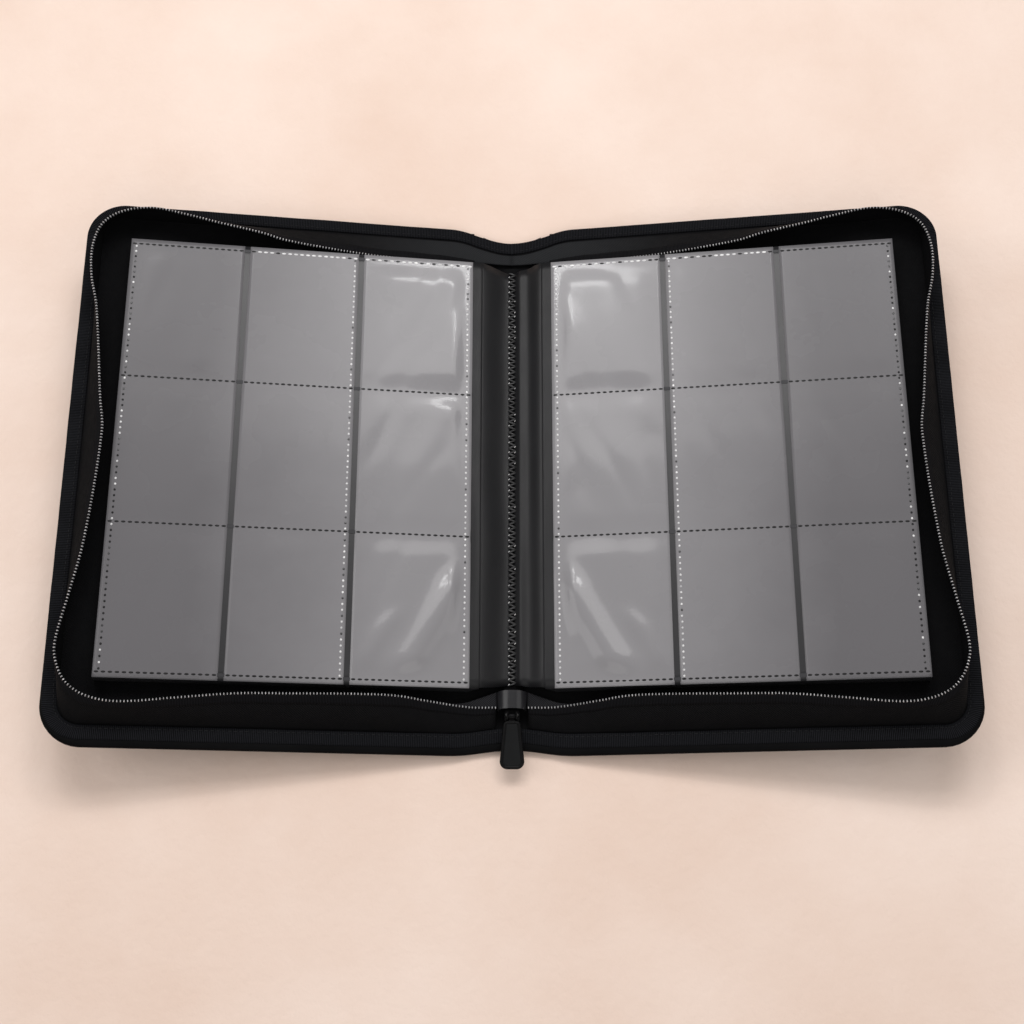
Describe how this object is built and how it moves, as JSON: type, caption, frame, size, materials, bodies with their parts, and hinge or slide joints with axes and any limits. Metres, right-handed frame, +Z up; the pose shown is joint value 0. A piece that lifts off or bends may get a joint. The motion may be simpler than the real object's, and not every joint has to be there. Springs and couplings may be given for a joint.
{
  "type": "zip-up card binder",
  "caption": "Padded zip-around binder lying open, with side-loading card pocket leaves sewn to the spine, fabric gusset and hinged pull.",
  "frame": {"origin": "on the table below the middle of the binder's overall box", "axes": "+X across the open book towards the back cover, +Y along the spine towards its head, +Z up from the table"},
  "size_m": [0.5548, 0.3661, 0.0607],
  "materials": {
    "cover_skin": "matt grained synthetic leather",
    "foam": "closed-cell foam",
    "board": "plain grey board",
    "lining": "fine woven lining",
    "binding": "ribbed woven tape",
    "gusset": "twill weave",
    "zip_teeth": "silvered coil",
    "fold": "smooth dark sheet edges",
    "thread": "waxed thread",
    "leaf_sheet": "matt sheet",
    "pocket_film": "semi-gloss frosted film",
    "weld": "pressed seam",
    "end_cap": "polished",
    "slider": "black satin",
    "pull": "moulded matt"
  },
  "bodies": {
    "spine": {"spine_skin": "cover_skin", "spine_foam": "foam", "spine_board": "board", "spine_lining": "lining", "spine_binding_head": "binding", "spine_binding_foot": "binding", "spine_gusset_head": "gusset", "spine_gusset_foot": "gusset", "page_fold": "fold", "fold_stitching": "thread", "zip_end_cap": "end_cap"},
    "zip_slider": {"zip_slider_body": "slider", "zip_slider_bridge": "slider"},
    "zip_pull": {"zip_pull": "pull"},
    "front_cover": {"front_cover_skin": "cover_skin", "front_cover_foam": "foam", "front_cover_board": "board", "front_cover_lining": "lining", "front_binding": "binding", "front_gusset": "gusset", "front_zip_teeth": "zip_teeth"},
    "back_cover": {"back_cover_skin": "cover_skin", "back_cover_foam": "foam", "back_cover_board": "board", "back_cover_lining": "lining", "back_binding": "binding", "back_gusset": "gusset", "back_zip_teeth": "zip_teeth"},
    "left_leaf_10": {"left_leaf_10": "leaf_sheet"},
    "left_leaf_01": {"left_leaf_01": "leaf_sheet", "left_page_film": "pocket_film", "left_page_welds": "weld"},
    "left_leaf_02": {"left_leaf_02": "leaf_sheet"},
    "left_leaf_03": {"left_leaf_03": "leaf_sheet"},
    "left_leaf_04": {"left_leaf_04": "leaf_sheet"},
    "left_leaf_05": {"left_leaf_05": "leaf_sheet"},
    "left_leaf_06": {"left_leaf_06": "leaf_sheet"},
    "left_leaf_07": {"left_leaf_07": "leaf_sheet"},
    "left_leaf_08": {"left_leaf_08": "leaf_sheet"},
    "left_leaf_09": {"left_leaf_09": "leaf_sheet"},
    "right_leaf_10": {"right_leaf_10": "leaf_sheet"},
    "right_leaf_01": {"right_leaf_01": "leaf_sheet", "right_page_film": "pocket_film", "right_page_welds": "weld"},
    "right_leaf_02": {"right_leaf_02": "leaf_sheet"},
    "right_leaf_03": {"right_leaf_03": "leaf_sheet"},
    "right_leaf_04": {"right_leaf_04": "leaf_sheet"},
    "right_leaf_05": {"right_leaf_05": "leaf_sheet"},
    "right_leaf_06": {"right_leaf_06": "leaf_sheet"},
    "right_leaf_07": {"right_leaf_07": "leaf_sheet"},
    "right_leaf_08": {"right_leaf_08": "leaf_sheet"},
    "right_leaf_09": {"right_leaf_09": "leaf_sheet"}
  },
  "joints": [
    {"name": "front_cover_hinge", "type": "hinge", "parent": "spine", "child": "front_cover", "pos_m": [-0.025, 0.00441, 0.0006], "axis": [0, 1, 0], "range_deg": [0, 81.6]},
    {"name": "back_cover_hinge", "type": "hinge", "parent": "spine", "child": "back_cover", "pos_m": [0.025, 0.00441, 0.0006], "axis": [0, -1, 0], "range_deg": [0, 81.6]},
    {"name": "left_leaves_close", "type": "hinge", "parent": "spine", "child": "left_leaf_10", "pos_m": [-0.0195, 0.00891, 0.00469], "axis": [0, 1, 0], "range_deg": [0, 81.6]},
    {"name": "left_leaves_turn", "type": "hinge", "parent": "left_leaf_10", "child": "left_leaf_01", "pos_m": [-0.01942, 0.00891, 0.01552], "axis": [0, -1, 0], "range_deg": [-84, 0]},
    {"name": "left_leaf_02_turn", "type": "hinge", "parent": "left_leaf_10", "child": "left_leaf_02", "pos_m": [-0.02028, 0.00891, 0.01448], "axis": [0, -1, 0], "range_deg": [-74.68, 0]},
    {"name": "left_leaf_03_turn", "type": "hinge", "parent": "left_leaf_10", "child": "left_leaf_03", "pos_m": [-0.02114, 0.00891, 0.01345], "axis": [0, -1, 0], "range_deg": [-65.34, 0]},
    {"name": "left_leaf_04_turn", "type": "hinge", "parent": "left_leaf_10", "child": "left_leaf_04", "pos_m": [-0.022, 0.00891, 0.01241], "axis": [0, -1, 0], "range_deg": [-56.01, 0]},
    {"name": "left_leaf_05_turn", "type": "hinge", "parent": "left_leaf_10", "child": "left_leaf_05", "pos_m": [-0.02286, 0.00891, 0.01138], "axis": [0, -1, 0], "range_deg": [-46.68, 0]},
    {"name": "left_leaf_06_turn", "type": "hinge", "parent": "left_leaf_10", "child": "left_leaf_06", "pos_m": [-0.02372, 0.00891, 0.01034], "axis": [0, -1, 0], "range_deg": [-37.34, 0]},
    {"name": "left_leaf_07_turn", "type": "hinge", "parent": "left_leaf_10", "child": "left_leaf_07", "pos_m": [-0.02458, 0.00891, 0.00931], "axis": [0, -1, 0], "range_deg": [-28.01, 0]},
    {"name": "left_leaf_08_turn", "type": "hinge", "parent": "left_leaf_10", "child": "left_leaf_08", "pos_m": [-0.02544, 0.00891, 0.00827], "axis": [0, -1, 0], "range_deg": [-18.68, 0]},
    {"name": "left_leaf_09_turn", "type": "hinge", "parent": "left_leaf_10", "child": "left_leaf_09", "pos_m": [-0.0263, 0.00891, 0.00724], "axis": [0, -1, 0], "range_deg": [-9.34, 0]},
    {"name": "right_leaves_close", "type": "hinge", "parent": "spine", "child": "right_leaf_10", "pos_m": [0.0195, 0.00891, 0.00469], "axis": [0, -1, 0], "range_deg": [0, 81.6]},
    {"name": "right_leaves_turn", "type": "hinge", "parent": "right_leaf_10", "child": "right_leaf_01", "pos_m": [0.01942, 0.00891, 0.01552], "axis": [0, 1, 0], "range_deg": [-84, 0]},
    {"name": "right_leaf_02_turn", "type": "hinge", "parent": "right_leaf_10", "child": "right_leaf_02", "pos_m": [0.02028, 0.00891, 0.01448], "axis": [0, 1, 0], "range_deg": [-74.68, 0]},
    {"name": "right_leaf_03_turn", "type": "hinge", "parent": "right_leaf_10", "child": "right_leaf_03", "pos_m": [0.02114, 0.00891, 0.01345], "axis": [0, 1, 0], "range_deg": [-65.34, 0]},
    {"name": "right_leaf_04_turn", "type": "hinge", "parent": "right_leaf_10", "child": "right_leaf_04", "pos_m": [0.022, 0.00891, 0.01241], "axis": [0, 1, 0], "range_deg": [-56.01, 0]},
    {"name": "right_leaf_05_turn", "type": "hinge", "parent": "right_leaf_10", "child": "right_leaf_05", "pos_m": [0.02286, 0.00891, 0.01138], "axis": [0, 1, 0], "range_deg": [-46.68, 0]},
    {"name": "right_leaf_06_turn", "type": "hinge", "parent": "right_leaf_10", "child": "right_leaf_06", "pos_m": [0.02372, 0.00891, 0.01034], "axis": [0, 1, 0], "range_deg": [-37.34, 0]},
    {"name": "right_leaf_07_turn", "type": "hinge", "parent": "right_leaf_10", "child": "right_leaf_07", "pos_m": [0.02458, 0.00891, 0.00931], "axis": [0, 1, 0], "range_deg": [-28.01, 0]},
    {"name": "right_leaf_08_turn", "type": "hinge", "parent": "right_leaf_10", "child": "right_leaf_08", "pos_m": [0.02544, 0.00891, 0.00827], "axis": [0, 1, 0], "range_deg": [-18.68, 0]},
    {"name": "right_leaf_09_turn", "type": "hinge", "parent": "right_leaf_10", "child": "right_leaf_09", "pos_m": [0.0263, 0.00891, 0.00724], "axis": [0, 1, 0], "range_deg": [-9.34, 0]},
    {"name": "zip_slide", "type": "slide", "parent": "spine", "child": "zip_slider", "axis": [0, -1, 0], "range_m": [0, 0.006]},
    {"name": "zip_pull_hinge", "type": "hinge", "parent": "zip_slider", "child": "zip_pull", "pos_m": [0, -0.15189, 0.0148], "axis": [1, 0, 0], "range_deg": [-100, 0]}
  ],
  "couplings": [
    {"joint": "left_leaves_close", "follows": "front_cover_hinge", "ratio": 1},
    {"joint": "left_leaf_02_turn", "follows": "left_leaves_turn", "ratio": 0.88889},
    {"joint": "left_leaf_03_turn", "follows": "left_leaves_turn", "ratio": 0.77778},
    {"joint": "left_leaf_04_turn", "follows": "left_leaves_turn", "ratio": 0.66667},
    {"joint": "left_leaf_05_turn", "follows": "left_leaves_turn", "ratio": 0.55556},
    {"joint": "left_leaf_06_turn", "follows": "left_leaves_turn", "ratio": 0.44444},
    {"joint": "left_leaf_07_turn", "follows": "left_leaves_turn", "ratio": 0.33333},
    {"joint": "left_leaf_08_turn", "follows": "left_leaves_turn", "ratio": 0.22222},
    {"joint": "left_leaf_09_turn", "follows": "left_leaves_turn", "ratio": 0.11111},
    {"joint": "right_leaves_close", "follows": "back_cover_hinge", "ratio": 1},
    {"joint": "right_leaf_02_turn", "follows": "right_leaves_turn", "ratio": 0.88889},
    {"joint": "right_leaf_03_turn", "follows": "right_leaves_turn", "ratio": 0.77778},
    {"joint": "right_leaf_04_turn", "follows": "right_leaves_turn", "ratio": 0.66667},
    {"joint": "right_leaf_05_turn", "follows": "right_leaves_turn", "ratio": 0.55556},
    {"joint": "right_leaf_06_turn", "follows": "right_leaves_turn", "ratio": 0.44444},
    {"joint": "right_leaf_07_turn", "follows": "right_leaves_turn", "ratio": 0.33333},
    {"joint": "right_leaf_08_turn", "follows": "right_leaves_turn", "ratio": 0.22222},
    {"joint": "right_leaf_09_turn", "follows": "right_leaves_turn", "ratio": 0.11111}
  ]
}
